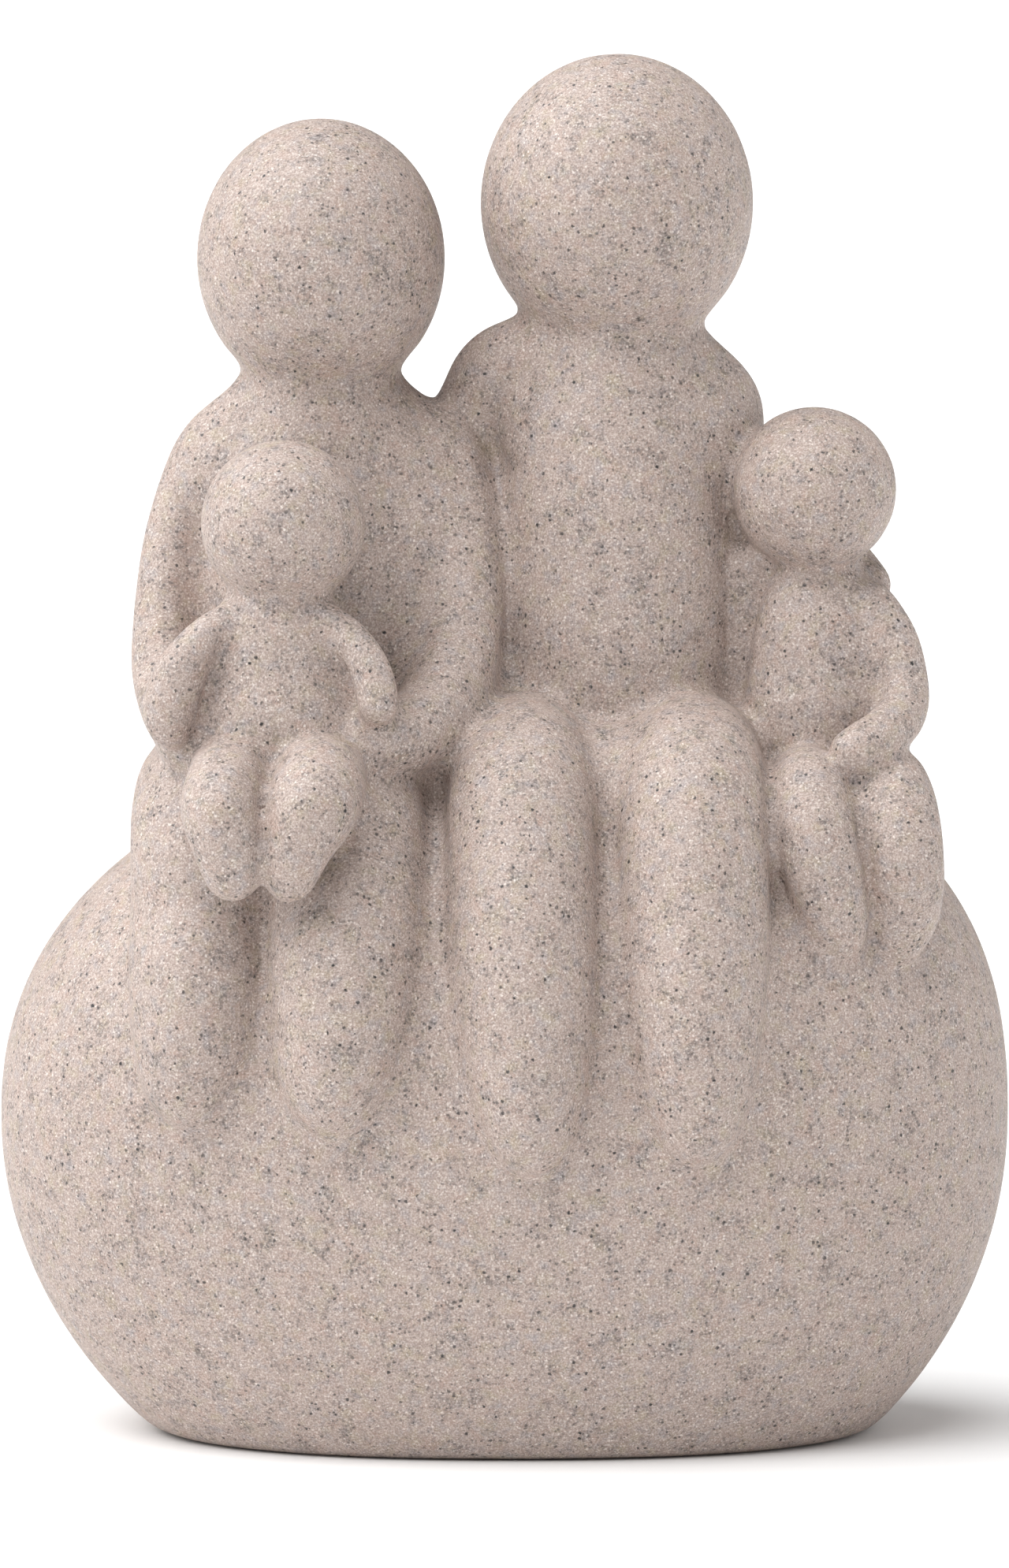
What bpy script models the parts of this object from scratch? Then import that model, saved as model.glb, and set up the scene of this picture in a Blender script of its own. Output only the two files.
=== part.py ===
"""Family group sculpture, cast in one piece from sand and resin: two adults and two children, with plain
faceless heads, seated on a large rounded boulder with a flat underside.

Metres, +Z up. The figures face -Y. The origin is at the middle of the underside. The boulder has its own
three sizes. Each figure has one seated height, and its limbs are shares of that height. Every figure sits
on what carries it, hands rest on the neighbour they hold, and the legs follow the boulder's front.
"""

import bmesh
import bpy
import numpy as np
from mathutils import Matrix

# Boulder
BOULDER_WIDTH = 0.1464
BOULDER_DEPTH = 0.086
BOULDER_HEIGHT = 0.1015
WAIST_SHARE = 0.453  # level of the greatest girth, as a share of the boulder's height
FOOTPRINT_SHARE = 0.71  # width of the underside, as a share of the greatest width
UPPER_FULLNESS = 2.3  # 2 is a plain ellipsoid, more is boxier
LOWER_FULLNESS = 2.0
PLAN_FULLNESS = 2.2
CROWN_LEAN = 0.0066  # the crown sits this far to the right of the waist, and the foot less
FOOT_LEAN = 0.0026
UNDERSIDE_ROUNDING = 0.0022

# Seated heights, from seat to crown
FATHER_HEIGHT = 0.0988
MOTHER_HEIGHT = 0.0936
LAP_CHILD_HEIGHT = 0.0455
SIDE_CHILD_HEIGHT = 0.0511

# Seats: how far right of the middle, as shares of the boulder's width, and the lap as shares of the
# mother's height, right, forward and up
FATHER_SEAT = 0.110
MOTHER_SEAT = -0.192
SIDE_CHILD_SEAT = 0.308
SIDE_CHILD_FORWARD = 0.06  # share of the boulder's depth
SIDE_CHILD_LIFT = 0.068  # share of the child's height
LAP = (-0.043, 0.255, 0.036)

# Softness of the hollow between two masses that meet
LEG_FILLET = 0.0022
BODY_FILLET = 0.0022
SHOULDER_FILLET = 0.0035
EMBRACE_FILLET = 0.003
CHILD_FILLET = 0.0013
SEAT_FILLET = 0.0018

# Mesh
COARSE_VOXEL = 0.0011
FINE_VOXEL = 0.00085
TRIANGLES = 9400
PROBE = 0.00002  # step over which the slope of the distance field is read
SETTLE_STEPS = 5
LONGEST_STEP = 0.0015
SURFACE_HALVINGS = 30

STONE_COLOUR = (0.56, 0.47, 0.42, 1.0)
STONE_ROUGHNESS = 0.6


def blend(first, second, fillet):
    """Union of two distance fields with a rounded hollow where they meet."""
    near = np.maximum(fillet - np.abs(first - second), 0.0) / fillet
    return np.minimum(first, second) - near * near * fillet / 4


class Egg:
    """An ellipsoid."""

    def __init__(self, centre, radii):
        self.centre = np.array(centre)
        self.radii = np.array(radii)

    def distance(self, points):
        offset = points - self.centre
        scaled = offset / self.radii
        gauge = np.maximum(np.sqrt((scaled * scaled).sum(axis=1)), 1e-6)
        return np.sqrt((offset * offset).sum(axis=1)) * (1 - 1 / gauge)

    def balls(self):
        return [(self.centre, self.radii)]


class Limb:
    """A round mass along a smooth curve through stations of (x, y, z, radius); depth flattens it in Y."""

    STEPS = 4
    MARGIN = 0.006  # beyond this a limb has no say in the surface

    def __init__(self, stations, depth=1.0):
        self.depth = depth
        self.stations = self.smooth(np.array(stations))
        reach = self.stations[:, 3:].max() + self.MARGIN
        self.low = self.stations[:, :3].min(axis=0) - reach
        self.high = self.stations[:, :3].max(axis=0) + reach

    def smooth(self, knots):
        ends = np.vstack([2 * knots[0] - knots[1], knots, 2 * knots[-1] - knots[-2]])
        rows = []
        for before, start, stop, after in zip(ends[:-3], ends[1:-2], ends[2:-1], ends[3:]):
            for step in range(self.STEPS):
                t = step / self.STEPS
                rise = (stop - before) * t
                bend = (2 * before - 5 * start + 4 * stop - after) * t**2
                turn = (3 * start - before - 3 * stop + after) * t**3
                rows.append(start + (rise + bend + turn) / 2)
        rows.append(knots[-1])
        return np.array(rows)

    def distance(self, points):
        field = np.full(len(points), self.MARGIN)
        near = ((points > self.low) & (points < self.high)).all(axis=1)
        field[near] = self.near_distance(points[near])
        return field

    def near_distance(self, points):
        squash = np.array([1.0, 1 / self.depth, 1.0])
        centres = self.stations[:, :3] * squash
        radii = self.stations[:, 3]
        points = points * squash
        best = np.full(len(points), self.MARGIN)
        for start, stop, first, last in zip(centres[:-1], centres[1:], radii[:-1], radii[1:]):
            run = stop - start
            along = np.clip((points - start) @ run / (run @ run), 0.0, 1.0)
            gap = points - start - along[:, None] * run
            reach = np.sqrt((gap * gap).sum(axis=1)) - first - along * (last - first)
            best = np.minimum(best, reach)
        return best

    def balls(self):
        return [(row[:3], row[3] * np.array([1.0, self.depth, 1.0])) for row in self.stations]


class Joined:
    """Masses that run into one another with one softness of hollow."""

    def __init__(self, fillet, *masses):
        self.fillet = fillet
        self.masses = masses

    def distance(self, points):
        field = self.masses[0].distance(points)
        for mass in self.masses[1:]:
            field = blend(field, mass.distance(points), self.fillet)
        return field

    def balls(self):
        return [ball for mass in self.masses for ball in mass.balls()]


class Boulder:
    """The rounded boulder that carries the group: fuller above its waist, and its crown leans to the right."""

    def __init__(self):
        self.waist = BOULDER_HEIGHT * WAIST_SHARE
        self.rise = BOULDER_HEIGHT - self.waist
        self.drop = self.waist / np.sqrt(1 - FOOTPRINT_SHARE**LOWER_FULLNESS)
        self.half_width = BOULDER_WIDTH / 2
        self.half_depth = BOULDER_DEPTH / 2

    def distance(self, points):
        above = points[:, 2] > self.waist
        tall = np.where(above, self.rise, self.drop)
        power = np.where(above, UPPER_FULLNESS, LOWER_FULLNESS)
        level = (points[:, 2] - self.waist) / tall
        across = points[:, 0] - np.where(above, CROWN_LEAN, FOOT_LEAN) * level**2
        round_x = np.abs(across / self.half_width) ** PLAN_FULLNESS
        round_y = np.abs(points[:, 1] / self.half_depth) ** PLAN_FULLNESS
        plan = (round_x + round_y) ** (1 / PLAN_FULLNESS)
        gauge = np.maximum((plan**power + np.abs(level) ** power) ** (1 / power), 1e-6)
        span = np.sqrt(across**2 + points[:, 1] ** 2 + (points[:, 2] - self.waist) ** 2)
        return span * (1 - 1 / gauge)

    def balls(self):
        radii = (self.half_width, self.half_depth, self.rise)
        return [((0, 0, self.waist), radii)]

    def surface(self, inside, outside):
        """The point where the straight line between two places leaves the boulder."""
        for _ in range(SURFACE_HALVINGS):
            middle = (inside + outside) / 2
            if self.distance(middle[None])[0] < 0:
                inside = middle
            else:
                outside = middle
        return (inside + outside) / 2

    def top(self, x, y):
        return self.surface(np.array([x, y, self.waist]), np.array([x, y, 2 * BOULDER_HEIGHT]))[2]

    def front(self, x, z):
        return self.surface(np.array([x, 0.0, z]), np.array([x, -BOULDER_DEPTH, z]))[1]


class Figure:
    """A seated figure. Places and sizes are shares of its height: right, forward and up from its seat."""

    def __init__(self, seat, height):
        self.seat = np.array(seat)
        self.height = height

    def place(self, right, forward, up):
        return self.seat + self.height * np.array([right, -forward, up])

    def station(self, right, forward, up, radius):
        return [*self.place(right, forward, up), radius * self.height]

    def head(self, right, forward, half_width, half_height):
        radii = np.array([half_width, half_width, half_height]) * self.height
        return Egg(self.place(right, forward, 1 - half_height), radii)

    def limb(self, stations, depth=1.0):
        return Limb([self.station(*row) for row in stations], depth)

    def leg(self, boulder, thigh, shin):
        """Thigh stations as in limb; shin stations are (right, up, radius, relief over the boulder)."""
        stations = [self.station(*row) for row in thigh]
        for right, up, radius, relief in shin:
            x, _, z = self.place(right, 0, up)
            y = boulder.front(x, z) + (radius - relief) * self.height
            stations.append([x, y, z, radius * self.height])
        return Limb(stations)


def adult_torso(figure, lean, depth):
    """A column that narrows to the neck only at the shoulders; lean shifts the neck sideways."""
    return figure.limb(
        [
            (0, 0.00, -0.06, 0.155),
            (0, 0.01, 0.08, 0.173),
            (0, 0.01, 0.22, 0.173),
            (lean / 3, 0.01, 0.36, 0.168),
            (lean, 0.00, 0.48, 0.150),
            (lean, 0.00, 0.58, 0.118),
        ],
        depth,
    )


def child_torso(figure, base, girth):
    """A small barrel with square shoulders; base is how far it runs on below the seat."""
    return figure.limb(
        [
            (0, 0.07, base, 0.250 * girth),
            (0, 0.08, 0.07, 0.267 * girth),
            (0, 0.06, 0.20, 0.245 * girth),
            (0, 0.06, 0.32, 0.224 * girth),
            (0, 0.05, 0.41, 0.196 * girth),
            (0, 0.02, 0.51, 0.150 * girth),
        ],
        depth=0.75,
    )


def adult_leg(figure, boulder, hip, knee, foot, reach, drop, breadth):
    """A thigh over the edge of the seat and a shin that sinks into the boulder as it narrows to the foot.
    Reach is how far the knee is forward of the seat, and drop how far the foot is below it."""
    return figure.leg(
        boulder,
        [
            (hip, 0.02, -0.03, 0.94 * breadth),
            (0.15 * hip + 0.85 * knee, 0.49 * reach, -0.025, 0.96 * breadth),
            (knee, 0.82 * reach, -0.055, breadth),
            (knee, reach, -0.13, breadth),
        ],
        [
            (knee, -0.44 * drop, breadth, 0.092),
            (0.7 * knee + 0.3 * foot, -0.64 * drop, 0.96 * breadth, 0.086),
            (0.4 * knee + 0.6 * foot, -0.83 * drop, 0.84 * breadth, 0.078),
            (foot, -0.94 * drop, 0.69 * breadth, 0.068),
            (foot, -drop, 0.54 * breadth, 0.058),
        ],
    )


def father_figure(father, mother, side_child, boulder):
    far_arm = Limb(
        [
            father.station(-0.10, 0.00, 0.568, 0.062),
            father.station(-0.172, -0.02, 0.532, 0.064),
            father.station(-0.218, -0.06, 0.445, 0.064),
            mother.station(0.14, -0.13, 0.40, 0.075),
            mother.station(-0.02, -0.17, 0.34, 0.070),
            mother.station(-0.14, -0.15, 0.28, 0.062),
        ]
    )
    near_arm = Limb(
        [
            father.station(0.08, 0.00, 0.55, 0.062),
            father.station(0.145, -0.02, 0.495, 0.062),
            father.station(0.168, -0.09, 0.40, 0.066),
            side_child.station(-0.03, -0.17, 0.60, 0.130),
            side_child.station(0.09, -0.10, 0.53, 0.085),
            side_child.station(0.145, -0.03, 0.49, 0.066),
        ]
    )
    web = father.limb(
        [(-0.245, 0.18, -0.12, 0.055), (-0.240, 0.16, -0.05, 0.062), (-0.200, 0.10, 0.02, 0.068),
         (-0.176, 0.02, 0.12, 0.060), (-0.162, -0.05, 0.25, 0.052), (-0.150, -0.06, 0.38, 0.045)]
    )
    yoke = father.limb([(-0.08, 0.01, 0.46, 0.085), (0.12, 0.00, 0.44, 0.090)])
    lap = father.limb(
        [(0, 0.06, -0.02, 0.080), (-0.010, 0.19, -0.045, 0.072), (-0.013, 0.23, -0.10, 0.058)]
    )
    left_leg = adult_leg(father, boulder, -0.10, -0.138, -0.126, 0.305, 0.53, 0.109)
    right_leg = adult_leg(father, boulder, 0.10, 0.109, 0.109, 0.305, 0.52, 0.109)
    head = father.head(0.001, 0, 0.199, 0.218)
    legs = Joined(SHOULDER_FILLET, left_leg, right_leg, lap)
    upper = Joined(SHOULDER_FILLET, adult_torso(father, 0, 0.86), far_arm, near_arm, yoke, web)
    return Joined(BODY_FILLET, upper, head, legs)


def mother_figure(mother, lap_child, boulder):
    outer_arm = Limb(
        [
            mother.station(-0.09, 0.00, 0.535, 0.060),
            mother.station(-0.152, 0.00, 0.477, 0.058),
            mother.station(-0.202, 0.02, 0.350, 0.054),
            mother.station(-0.222, 0.08, 0.190, 0.052),
            mother.station(-0.212, 0.16, 0.115, 0.050),
            lap_child.station(-0.29, 0.08, 0.07, 0.095),
        ]
    )
    inner_arm = Limb(
        [
            mother.station(0.12, 0.00, 0.535, 0.060),
            mother.station(0.205, 0.01, 0.477, 0.062),
            mother.station(0.232, 0.05, 0.350, 0.066),
            mother.station(0.230, 0.12, 0.210, 0.066),
            mother.station(0.210, 0.20, 0.125, 0.065),
            mother.station(0.165, 0.27, 0.080, 0.062),
            lap_child.station(0.30, 0.13, 0.075, 0.115),
        ]
    )
    inner_web = mother.limb(
        [(0.170, 0.19, 0.03, 0.065), (0.160, 0.12, 0.11, 0.078), (0.155, 0.06, 0.24, 0.080),
         (0.150, 0.04, 0.37, 0.088)]
    )
    outer_web = mother.limb(
        [(-0.170, 0.12, -0.03, 0.062), (-0.165, 0.06, 0.05, 0.058), (-0.150, 0.00, 0.34, 0.045)]
    )
    lap = mother.limb([(-0.045, 0.08, 0.01, 0.10), (-0.050, 0.26, -0.04, 0.085)])
    yoke = mother.limb([(-0.11, 0.01, 0.450, 0.088), (0.13, 0.02, 0.450, 0.090)])
    left_leg = adult_leg(mother, boulder, -0.100, -0.154, -0.174, 0.265, 0.457, 0.116)
    right_leg = adult_leg(mother, boulder, 0.07, 0.064, 0.045, 0.300, 0.460, 0.124)
    head = mother.head(0.018, 0.02, 0.191, 0.215)
    legs = Joined(BODY_FILLET, left_leg, right_leg, lap)
    torso = adult_torso(mother, 0.017, 0.98)
    upper = Joined(SHOULDER_FILLET, torso, outer_arm, inner_arm, yoke, outer_web, inner_web)
    return Joined(BODY_FILLET, upper, head, legs)


def lap_child_figure(child):
    left_arm = child.limb(
        [(-0.13, 0.10, 0.440, 0.066), (-0.225, 0.15, 0.395, 0.062), (-0.300, 0.18, 0.290, 0.080),
         (-0.330, 0.19, 0.200, 0.086), (-0.335, 0.19, 0.120, 0.072)]
    )
    right_arm = child.limb(
        [(0.13, 0.10, 0.440, 0.066), (0.205, 0.14, 0.400, 0.062), (0.264, 0.18, 0.340, 0.062),
         (0.300, 0.21, 0.260, 0.066), (0.312, 0.24, 0.190, 0.064)]
    )
    back_web = child.limb([(0, -0.10, 0.02, 0.17), (0, -0.12, 0.54, 0.15)])
    left_web = child.limb([(-0.18, 0.06, 0.36, 0.08), (-0.23, 0.09, 0.06, 0.11)])
    right_web = child.limb([(0.18, 0.06, 0.36, 0.08), (0.23, 0.11, 0.06, 0.105)])
    left_leg = child.limb(
        [(-0.13, 0.10, -0.025, 0.140), (-0.155, 0.32, -0.050, 0.130), (-0.174, 0.44, -0.11, 0.124),
         (-0.160, 0.48, -0.19, 0.112), (-0.134, 0.48, -0.305, 0.092)]
    )
    right_leg = child.limb(
        [(0.125, 0.10, -0.025, 0.146), (0.130, 0.32, -0.052, 0.148), (0.110, 0.43, -0.11, 0.144),
         (0.072, 0.47, -0.20, 0.116), (0.042, 0.48, -0.32, 0.082)]
    )
    head = child.head(0.014, 0.03, 0.257, 0.262)
    legs = Joined(CHILD_FILLET, left_leg, right_leg)
    torso = Joined(CHILD_FILLET, child_torso(child, 0, 1), left_web, right_web, back_web)
    return Joined(CHILD_FILLET, torso, head, left_arm, right_arm, legs)


def side_child_figure(child, boulder):
    hidden_arm = child.limb(
        [(-0.18, -0.06, 0.54, 0.105), (-0.215, -0.055, 0.32, 0.096), (-0.205, -0.04, 0.04, 0.102)]
    )
    arm = child.limb(
        [(0.145, 0.07, 0.430, 0.080), (0.210, 0.12, 0.345, 0.072), (0.242, 0.17, 0.235, 0.066),
         (0.235, 0.23, 0.160, 0.069), (0.185, 0.31, 0.105, 0.073), (0.120, 0.375, 0.070, 0.072),
         (0.090, 0.385, 0.060, 0.066)]
    )
    web = child.limb([(0.15, 0.07, 0.35, 0.09), (0.16, 0.13, 0.05, 0.095)])
    seat_web = child.limb([(-0.12, 0.02, -0.08, 0.10), (-0.11, 0.38, -0.15, 0.10), (0.09, 0.30, -0.13, 0.12)])
    leg_web = child.limb([(0.09, 0.10, -0.06, 0.09), (0.09, 0.36, -0.12, 0.09), (0.115, 0.36, -0.40, 0.08)])
    left_leg = child.leg(
        boulder,
        [(-0.03, 0.16, -0.05, 0.116), (-0.030, 0.36, -0.055, 0.118), (-0.025, 0.45, -0.13, 0.118),
         (-0.005, 0.48, -0.23, 0.114)],
        [(0.018, -0.32, 0.110, 0.178), (0.036, -0.385, 0.100, 0.130), (0.050, -0.435, 0.080, 0.090)],
    )
    right_leg = child.leg(
        boulder,
        [(0.14, 0.10, -0.05, 0.115), (0.184, 0.28, -0.05, 0.120), (0.213, 0.38, -0.12, 0.118),
         (0.230, 0.42, -0.24, 0.114)],
        [(0.232, -0.34, 0.112, 0.250), (0.226, -0.405, 0.102, 0.170), (0.214, -0.455, 0.084, 0.108)],
    )
    head = child.head(-0.011, 0.04, 0.232, 0.233)
    legs = Joined(CHILD_FILLET, left_leg, right_leg, seat_web, leg_web)
    torso = Joined(CHILD_FILLET, child_torso(child, -0.15, 0.83), web)
    return Joined(CHILD_FILLET, torso, head, hidden_arm, arm, legs)


def whole_group():
    boulder = Boulder()
    father_x, mother_x, side_x = BOULDER_WIDTH * np.array([FATHER_SEAT, MOTHER_SEAT, SIDE_CHILD_SEAT])
    father = Figure((father_x, 0, boulder.top(father_x, 0)), FATHER_HEIGHT)
    mother = Figure((mother_x, 0, boulder.top(mother_x, 0)), MOTHER_HEIGHT)
    lap_child = Figure(mother.place(*LAP), LAP_CHILD_HEIGHT)
    side_level = boulder.top(side_x, 0) + SIDE_CHILD_LIFT * SIDE_CHILD_HEIGHT
    side_child = Figure((side_x, -SIDE_CHILD_FORWARD * BOULDER_DEPTH, side_level), SIDE_CHILD_HEIGHT)
    parents = Joined(
        EMBRACE_FILLET,
        father_figure(father, mother, side_child, boulder),
        mother_figure(mother, lap_child, boulder),
    )
    children = Joined(CHILD_FILLET, lap_child_figure(lap_child), side_child_figure(side_child, boulder))
    seated = Joined(LEG_FILLET, boulder, parents)
    return Joined(SEAT_FILLET, seated, children)


def cast_distance(group, points):
    """The group's distance field, cut off flat at the underside with a rounded lower edge."""
    return -blend(-group.distance(points), points[:, 2], UNDERSIDE_ROUNDING)


def settle(obj, group):
    """Moves every vertex onto the surface of the group, along the slope of its distance field."""
    mesh = obj.data
    points = np.empty(len(mesh.vertices) * 3)
    mesh.vertices.foreach_get("co", points)
    points = points.reshape(-1, 3)
    for _ in range(SETTLE_STEPS):
        value = cast_distance(group, points)
        slope = np.empty_like(points)
        for axis in range(3):
            probe = points.copy()
            probe[:, axis] += PROBE
            slope[:, axis] = (cast_distance(group, probe) - value) / PROBE
        square = np.maximum((slope * slope).sum(axis=1), 0.05)
        move = -slope * (value / square)[:, None]
        length = np.sqrt((move * move).sum(axis=1))
        move *= np.minimum(1.0, LONGEST_STEP / np.maximum(length, 1e-9))[:, None]
        points += move
    points[:, 2] = np.where(points[:, 2] < PROBE, 0.0, points[:, 2])
    mesh.vertices.foreach_set("co", points.ravel())
    mesh.update()


def apply_modifier(obj, kind, **settings):
    modifier = obj.modifiers.new(kind.title(), kind)
    for name, value in settings.items():
        setattr(modifier, name, value)
    bpy.context.view_layer.objects.active = obj
    bpy.ops.object.modifier_apply(modifier=modifier.name)


def rough_mesh(name, group):
    """Overlapping balls that stand for the masses."""
    mesh = bpy.data.meshes.new(name)
    ball_mesh = bmesh.new()
    for centre, radii in group.balls():
        place = Matrix.LocRotScale(centre, None, radii)
        bmesh.ops.create_icosphere(ball_mesh, subdivisions=3, radius=1, matrix=place)
    ball_mesh.to_mesh(mesh)
    ball_mesh.free()
    return mesh


def keep_outer_skin(obj):
    """Drops the skins of pockets that are closed inside the group, so the casting is solid through."""
    mesh = bmesh.new()
    mesh.from_mesh(obj.data)
    unseen = set(mesh.verts)
    skins = []
    while unseen:
        skin = []
        edge_of_search = [unseen.pop()]
        while edge_of_search:
            vertex = edge_of_search.pop()
            skin.append(vertex)
            for edge in vertex.link_edges:
                other = edge.other_vert(vertex)
                if other in unseen:
                    unseen.remove(other)
                    edge_of_search.append(other)
        skins.append(skin)
    skins.sort(key=len)
    for skin in skins[:-1]:
        bmesh.ops.delete(mesh, geom=skin, context="VERTS")
    mesh.to_mesh(obj.data)
    mesh.free()


def stone():
    material = bpy.data.materials.new("sand_and_resin")
    material.use_nodes = True
    shader = material.node_tree.nodes["Principled BSDF"]
    shader.inputs["Base Color"].default_value = STONE_COLOUR
    shader.inputs["Roughness"].default_value = STONE_ROUGHNESS
    return material


for old in list(bpy.data.objects):
    bpy.data.objects.remove(old)

group = whole_group()
casting = bpy.data.objects.new("family_group", rough_mesh("family_group", group))
bpy.context.collection.objects.link(casting)
for voxel in (COARSE_VOXEL, FINE_VOXEL):
    apply_modifier(casting, "REMESH", mode="VOXEL", voxel_size=voxel)
    keep_outer_skin(casting)
    settle(casting, group)
apply_modifier(casting, "DECIMATE", ratio=TRIANGLES / (2 * len(casting.data.polygons)))
settle(casting, group)
casting.data.materials.append(stone())
casting.data.shade_smooth()
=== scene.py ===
import math

import bpy
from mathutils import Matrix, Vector


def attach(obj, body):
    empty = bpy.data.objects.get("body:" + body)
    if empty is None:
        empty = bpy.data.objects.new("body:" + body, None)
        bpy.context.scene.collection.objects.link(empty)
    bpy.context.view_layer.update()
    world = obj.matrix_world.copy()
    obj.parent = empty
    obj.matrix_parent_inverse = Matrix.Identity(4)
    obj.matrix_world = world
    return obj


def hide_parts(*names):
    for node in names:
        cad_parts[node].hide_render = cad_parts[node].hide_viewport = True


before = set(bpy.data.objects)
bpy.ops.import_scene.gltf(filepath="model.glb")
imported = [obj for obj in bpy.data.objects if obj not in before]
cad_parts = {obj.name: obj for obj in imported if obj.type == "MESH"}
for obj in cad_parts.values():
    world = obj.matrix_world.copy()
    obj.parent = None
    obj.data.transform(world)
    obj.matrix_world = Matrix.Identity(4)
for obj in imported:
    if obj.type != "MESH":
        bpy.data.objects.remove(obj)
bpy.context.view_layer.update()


# Casting
# The whole group is one casting of sand and clear resin, poured into a rubber mould, so it has no seams and
# every hollow between two bodies is soft. Its solid is refined and faired here to smooth away its flat
# facets.
MERGE_DISTANCE = 1e-6
CUT_ROUNDS = 2
FAIRING_STRENGTH = 0.5
FAIRING_ROUNDS = 4

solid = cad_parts["family_group"]
casting = bpy.data.objects.new("casting", solid.data.copy())
bpy.context.collection.objects.link(casting)
bpy.ops.object.select_all(action="DESELECT")
casting.select_set(True)
bpy.context.view_layer.objects.active = casting

bpy.ops.object.mode_set(mode="EDIT")
bpy.ops.mesh.select_all(action="SELECT")
bpy.ops.mesh.remove_doubles(threshold=MERGE_DISTANCE)
for _ in range(CUT_ROUNDS):
    bpy.ops.mesh.subdivide(number_cuts=1, smoothness=1)
bpy.ops.object.mode_set(mode="OBJECT")


def finish_with(piece, kind, **settings):
    """Adds one modifier to a piece and applies it."""
    modifier = piece.modifiers.new(kind.title(), kind)
    for name, value in settings.items():
        setattr(modifier, name, value)
    bpy.context.view_layer.objects.active = piece
    bpy.ops.object.modifier_apply(modifier=modifier.name)


finish_with(casting, "SMOOTH", factor=FAIRING_STRENGTH, iterations=FAIRING_ROUNDS)
for vertex in casting.data.vertices:
    vertex.co.z = max(vertex.co.z, 0)
bpy.ops.object.shade_smooth()


class Value:
    """A shader socket that adds a Math node for each sum, difference or product."""

    def __init__(self, finish, socket):
        self.finish = finish
        self.socket = socket

    def math(self, operation, first, second, clamp=False):
        settings = {"operation": operation, "use_clamp": clamp}
        return self.finish.node("ShaderNodeMath", settings, {0: first, 1: second})

    def __add__(self, other):
        return self.math("ADD", self, other)

    def __sub__(self, other):
        return self.math("SUBTRACT", self, other)

    def __rsub__(self, other):
        return self.math("SUBTRACT", other, self)

    def __mul__(self, other):
        return self.math("MULTIPLY", self, other)

    def __lt__(self, other):
        return self.math("LESS_THAN", self, other)

    def clamped(self):
        return self.math("MULTIPLY", self, 1.0, clamp=True)

    __radd__ = __add__
    __rmul__ = __mul__


# The Mix node has one set of sockets for each kind of value: these are the ones for colours
MIX_FIRST_COLOUR = 6
MIX_SECOND_COLOUR = 7
MIX_RESULT_COLOUR = 2


class Finish:
    """A material whose nodes are added one by one, each with its settings first and then its sockets."""

    def __init__(self, name):
        self.material = bpy.data.materials.new(name)
        self.material.use_nodes = True
        self.tree = self.material.node_tree
        self.shader = self.tree.nodes["Principled BSDF"]

    def fill(self, node, sockets):
        for key, value in sockets.items():
            if isinstance(value, Value):
                self.tree.links.new(value.socket, node.inputs[key])
            else:
                node.inputs[key].default_value = value

    def node(self, kind, settings, sockets, output=0):
        made = self.tree.nodes.new(kind)
        for name, value in settings.items():
            setattr(made, name, value)
        self.fill(made, sockets)
        return Value(self, made.outputs[output])

    def other(self, value, output):
        return Value(self, value.socket.node.outputs[output])

    def noise(self, where, size, detail=2.0, roughness=0.5):
        sockets = {"Vector": where, "Scale": 1 / size, "Detail": detail, "Roughness": roughness}
        return self.node("ShaderNodeTexNoise", {}, sockets)

    def mix(self, share, first, second):
        sockets = {"Factor": share, MIX_FIRST_COLOUR: first, MIX_SECOND_COLOUR: second}
        return self.node("ShaderNodeMix", {"data_type": "RGBA"}, sockets, output=MIX_RESULT_COLOUR)

    def shifted(self, where, offset):
        return self.node("ShaderNodeVectorMath", {"operation": "ADD"}, {0: where, 1: offset})


BASE_COLOUR = (0.425, 0.335, 0.295, 1)
WARM_COLOUR = (0.43, 0.28, 0.22, 1)
OCHRE_COLOUR = (0.40, 0.335, 0.225, 1)
BLUE_COLOUR = (0.31, 0.30, 0.325, 1)
PALE_COLOUR = (0.86, 0.79, 0.74, 1)
GREY_COLOUR = (0.11, 0.095, 0.09, 1)
DARK_COLOUR = (0.020, 0.017, 0.018, 1)

# Stains: colour, size of the clouds, strength, and the offset that sets their pattern apart
STAINS = (
    (WARM_COLOUR, 0.0022, 0.5, (0.5, 0, 0)),
    (OCHRE_COLOUR, 0.0024, 0.6, (0, 0.5, 0)),
    (BLUE_COLOUR, 0.0018, 0.55, (0, 0, 0.5)),
)
STAIN_THRESHOLD = 0.52
STAIN_SHARPNESS = 4

SMUDGE_SIZE = 0.0007
SMUDGE_OFFSET = (0.4, 0.4, 0)
SMUDGE_THRESHOLD = 1.05
SMUDGE_SHARPNESS = 2.8
SMUDGE_STRENGTH = 0.60

FINE_SIZE = 0.00028
FINE_ROUGHNESS = 0.7
FINE_MIDDLE = 0.5
FINE_PALE_CONTRAST = 2.2
FINE_GREY_CONTRAST = 2.4

# Grains: offset of the pattern, spacing, diameter and width of the soft edge
PALE_GRAINS = {"offset": (0.1, 0.2, 0), "cell": 0.00045, "size": 0.00033, "edge": 0.00010}
GREY_GRAINS = {"offset": (0.2, 0, 0.1), "cell": 0.00064, "size": 0.00046, "edge": 0.00020}
DARK_GRAINS = {"offset": (0, 0.1, 0.2), "cell": 0.00085, "size": 0.00050, "edge": 0.00016}
PALE_SHARE = 0.52
PALE_STRENGTH = 0.68
GREY_STRENGTH = 0.8
LEAST_STRENGTH = 0.4  # of the faintest grain
LEAST_RADIUS = 0.6  # of the smallest grain, as a share of the middle one
RADIUS_SPREAD = 0.8

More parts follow.
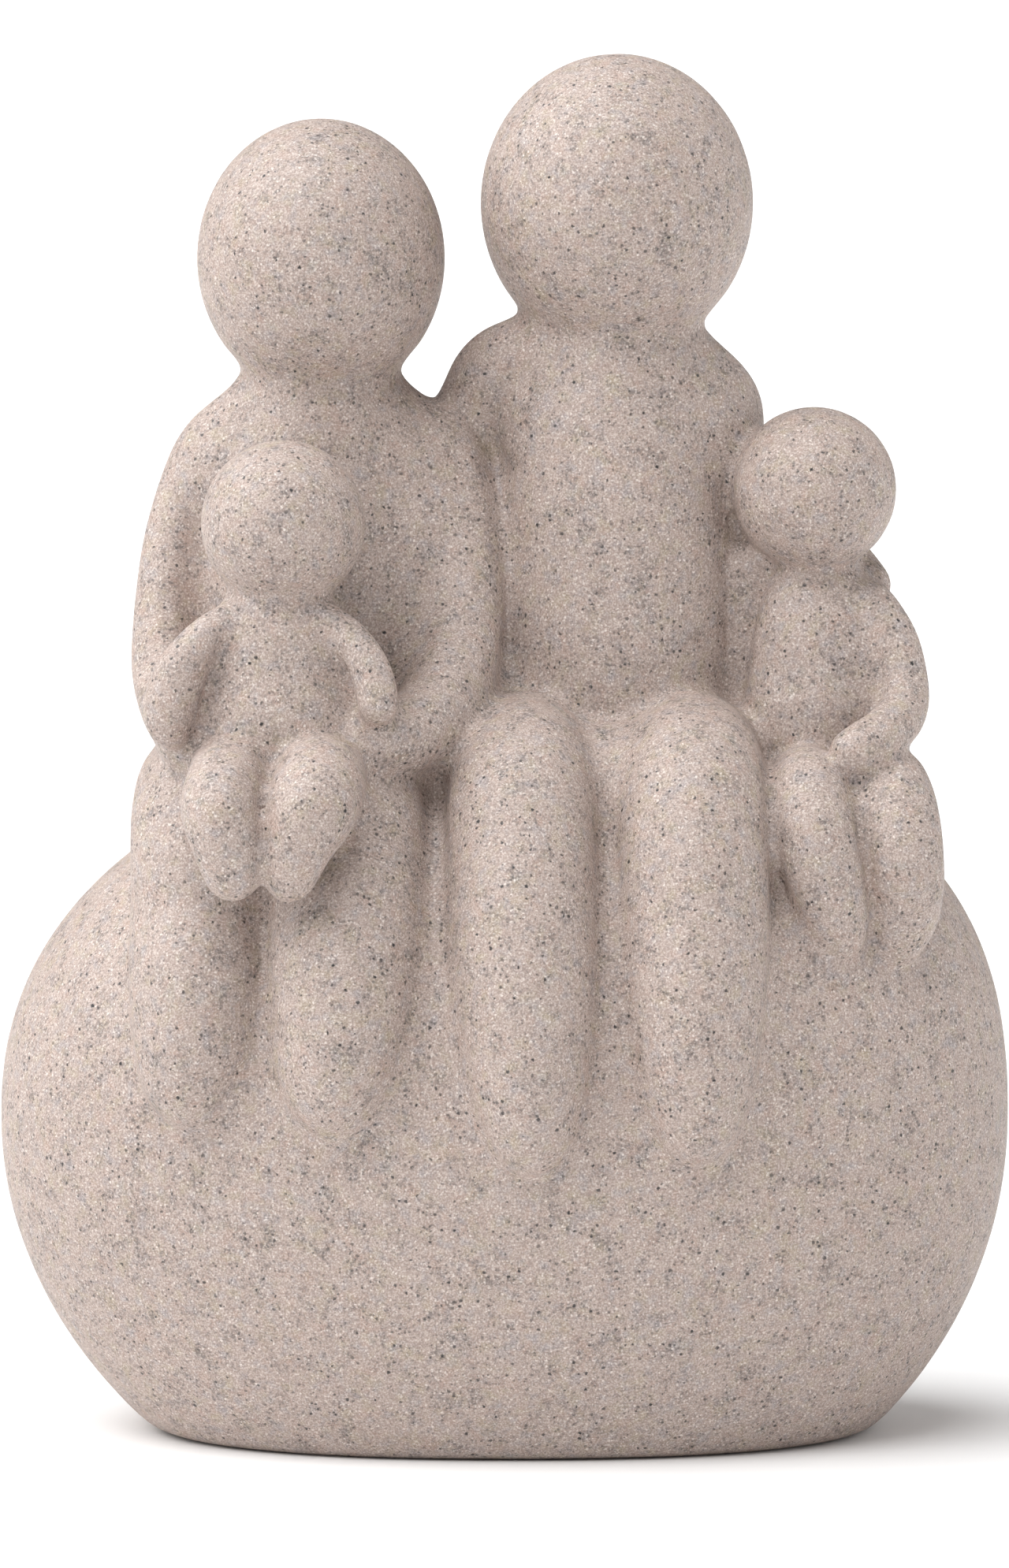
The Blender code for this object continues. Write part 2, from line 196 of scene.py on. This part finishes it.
# Grey and dark grains lie in loose clusters: their share is the cluster noise times a gain, less a cut
CLUSTER_SIZE = 0.0030
CLUSTER_OFFSET = (0.3, 0.1, 0.2)
GREY_GAIN = 1.9
GREY_CUT = 0.30
DARK_GAIN = 2.0
DARK_CUT = 0.38

WOBBLE_SIZE = 0.00035
WOBBLE_REACH = 0.0005

ROUGHNESS = 0.60
GRAIN_SHINE = 0.15
PALE_RELIEF = 0.4
GREY_RELIEF = 0.2
RELIEF_STRENGTH = 0.4
RELIEF_DEPTH = 0.00008

sandstone = Finish("cast sandstone")
place = sandstone.node("ShaderNodeTexCoord", {}, {}, output="Object")


def grains(finish, where, share, offset, cell, size, edge):
    """Round grains through the casting: one in each cell of the given size, shown in that share of cells.
    Their sizes vary, and each is fainter or stronger than the next."""
    sockets = {"Vector": finish.shifted(where, offset), "Scale": 1 / cell}
    distance = finish.node("ShaderNodeTexVoronoi", {}, sockets)
    split = finish.node("ShaderNodeSeparateColor", {}, {0: finish.other(distance, "Color")})
    chance = finish.other(split, "Green")
    strength = finish.other(split, "Blue") * (1 - LEAST_STRENGTH) + LEAST_STRENGTH
    radius = (split * RADIUS_SPREAD + LEAST_RADIUS) * (size / cell / 2)
    return ((radius - distance) * (cell / edge)).clamped() * (chance < share) * strength


wobble = sandstone.noise(place, WOBBLE_SIZE)
wobbly = sandstone.node(
    "ShaderNodeVectorMath",
    {"operation": "MULTIPLY_ADD"},
    {0: sandstone.other(wobble, "Color"), 1: (WOBBLE_REACH, WOBBLE_REACH, WOBBLE_REACH), 2: place},
)
clusters = sandstone.noise(sandstone.shifted(place, CLUSTER_OFFSET), CLUSTER_SIZE, detail=1.0)
smudge = sandstone.noise(sandstone.shifted(place, SMUDGE_OFFSET), SMUDGE_SIZE, detail=1.0)
fine = sandstone.noise(place, FINE_SIZE, roughness=FINE_ROUGHNESS)
pale = grains(sandstone, wobbly, PALE_SHARE, **PALE_GRAINS)
grey = grains(sandstone, wobbly, clusters * GREY_GAIN - GREY_CUT, **GREY_GRAINS)
dark = grains(sandstone, wobbly, clusters * DARK_GAIN - DARK_CUT, **DARK_GRAINS)

colour = BASE_COLOUR
for stain_colour, size, strength, offset in STAINS:
    cloud = sandstone.noise(sandstone.shifted(place, offset), size)
    stain = ((cloud - STAIN_THRESHOLD) * STAIN_SHARPNESS).clamped() * strength
    colour = sandstone.mix(stain, colour, stain_colour)
smudged = ((smudge + clusters - SMUDGE_THRESHOLD) * SMUDGE_SHARPNESS).clamped() * SMUDGE_STRENGTH
colour = sandstone.mix(smudged, colour, GREY_COLOUR)
colour = sandstone.mix(((fine - FINE_MIDDLE) * FINE_PALE_CONTRAST).clamped(), colour, PALE_COLOUR)
colour = sandstone.mix(((FINE_MIDDLE - fine) * FINE_GREY_CONTRAST).clamped(), colour, GREY_COLOUR)
colour = sandstone.mix(pale * PALE_STRENGTH, colour, PALE_COLOUR)
colour = sandstone.mix(grey * GREY_STRENGTH, colour, GREY_COLOUR)
colour = sandstone.mix(dark, colour, DARK_COLOUR)

height = fine + pale * PALE_RELIEF - grey * GREY_RELIEF
relief = sandstone.node(
    "ShaderNodeBump",
    {},
    {"Strength": RELIEF_STRENGTH, "Distance": RELIEF_DEPTH, "Height": height},
)
roughness = ROUGHNESS - pale * GRAIN_SHINE - dark * GRAIN_SHINE
sandstone.fill(sandstone.shader, {"Base Color": colour, "Roughness": roughness, "Normal": relief})
casting.data.materials.clear()
casting.data.materials.append(sandstone.material)

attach(casting, "root")
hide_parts("family_group")


# Table
# A wide white sheet of matt card that the casting stands on, seen only as a white ground.
FLOOR_SIZE = 60.0
CARD_FINISH = {"Base Color": (0.93, 0.93, 0.93, 1), "Roughness": 0.9, "Specular IOR Level": 0.1}

bpy.ops.object.select_all(action="DESELECT")
bpy.ops.mesh.primitive_plane_add(size=FLOOR_SIZE)
floor = bpy.context.object
floor.name = "floor"
card = Finish("white card")
card.fill(card.shader, CARD_FINISH)
floor.data.materials.append(card.material)


# Light
# A white room with broad soft light from above on the left, some more from the left side, and a weaker
# light from the right that picks out that edge.
WHITE = (1, 1, 1, 1)
ROOM_STRENGTH = 0.265
SPREAD = math.radians(70)

world = bpy.data.worlds.new("white room")
world.use_nodes = True
world.node_tree.nodes["Background"].inputs["Color"].default_value = WHITE
world.node_tree.nodes["Background"].inputs["Strength"].default_value = ROOM_STRENGTH
bpy.context.scene.world = world


def soft_light(name, side, rise, strength):
    """A distant soft light: degrees to the right of the camera, degrees above the table, and strength."""
    lamp = bpy.data.lights.new(name, "SUN")
    lamp.angle = SPREAD
    lamp.energy = strength
    holder = bpy.data.objects.new(name, lamp)
    bpy.context.collection.objects.link(holder)
    side = math.radians(side)
    rise = math.radians(rise)
    level = math.cos(rise)
    toward = Vector((math.sin(side) * level, -math.cos(side) * level, math.sin(rise)))
    holder.rotation_euler = toward.to_track_quat("Z", "Y").to_euler()


soft_light("key", side=-56, rise=64, strength=3.2)
soft_light("left side", side=-90, rise=35, strength=1.5)
soft_light("right side", side=95, rise=24, strength=0.85)


# Camera
# A long lens a little above the casting, straight in front of it.
CAMERA_RISE = math.radians(6)
AIM = (0, 0, 0.0943)
CAMERA_DISTANCE = 1.5
FOCAL_LENGTH = 237.4

lens = bpy.data.cameras.new("camera")
lens.lens = FOCAL_LENGTH
camera = bpy.data.objects.new("camera", lens)
bpy.context.collection.objects.link(camera)
away = Vector((0, -math.cos(CAMERA_RISE), math.sin(CAMERA_RISE)))
camera.location = Vector(AIM) + away * CAMERA_DISTANCE
camera.rotation_euler = (-away).to_track_quat("-Z", "Y").to_euler()
bpy.context.scene.camera = camera
bpy.context.scene.view_settings.view_transform = "Standard"
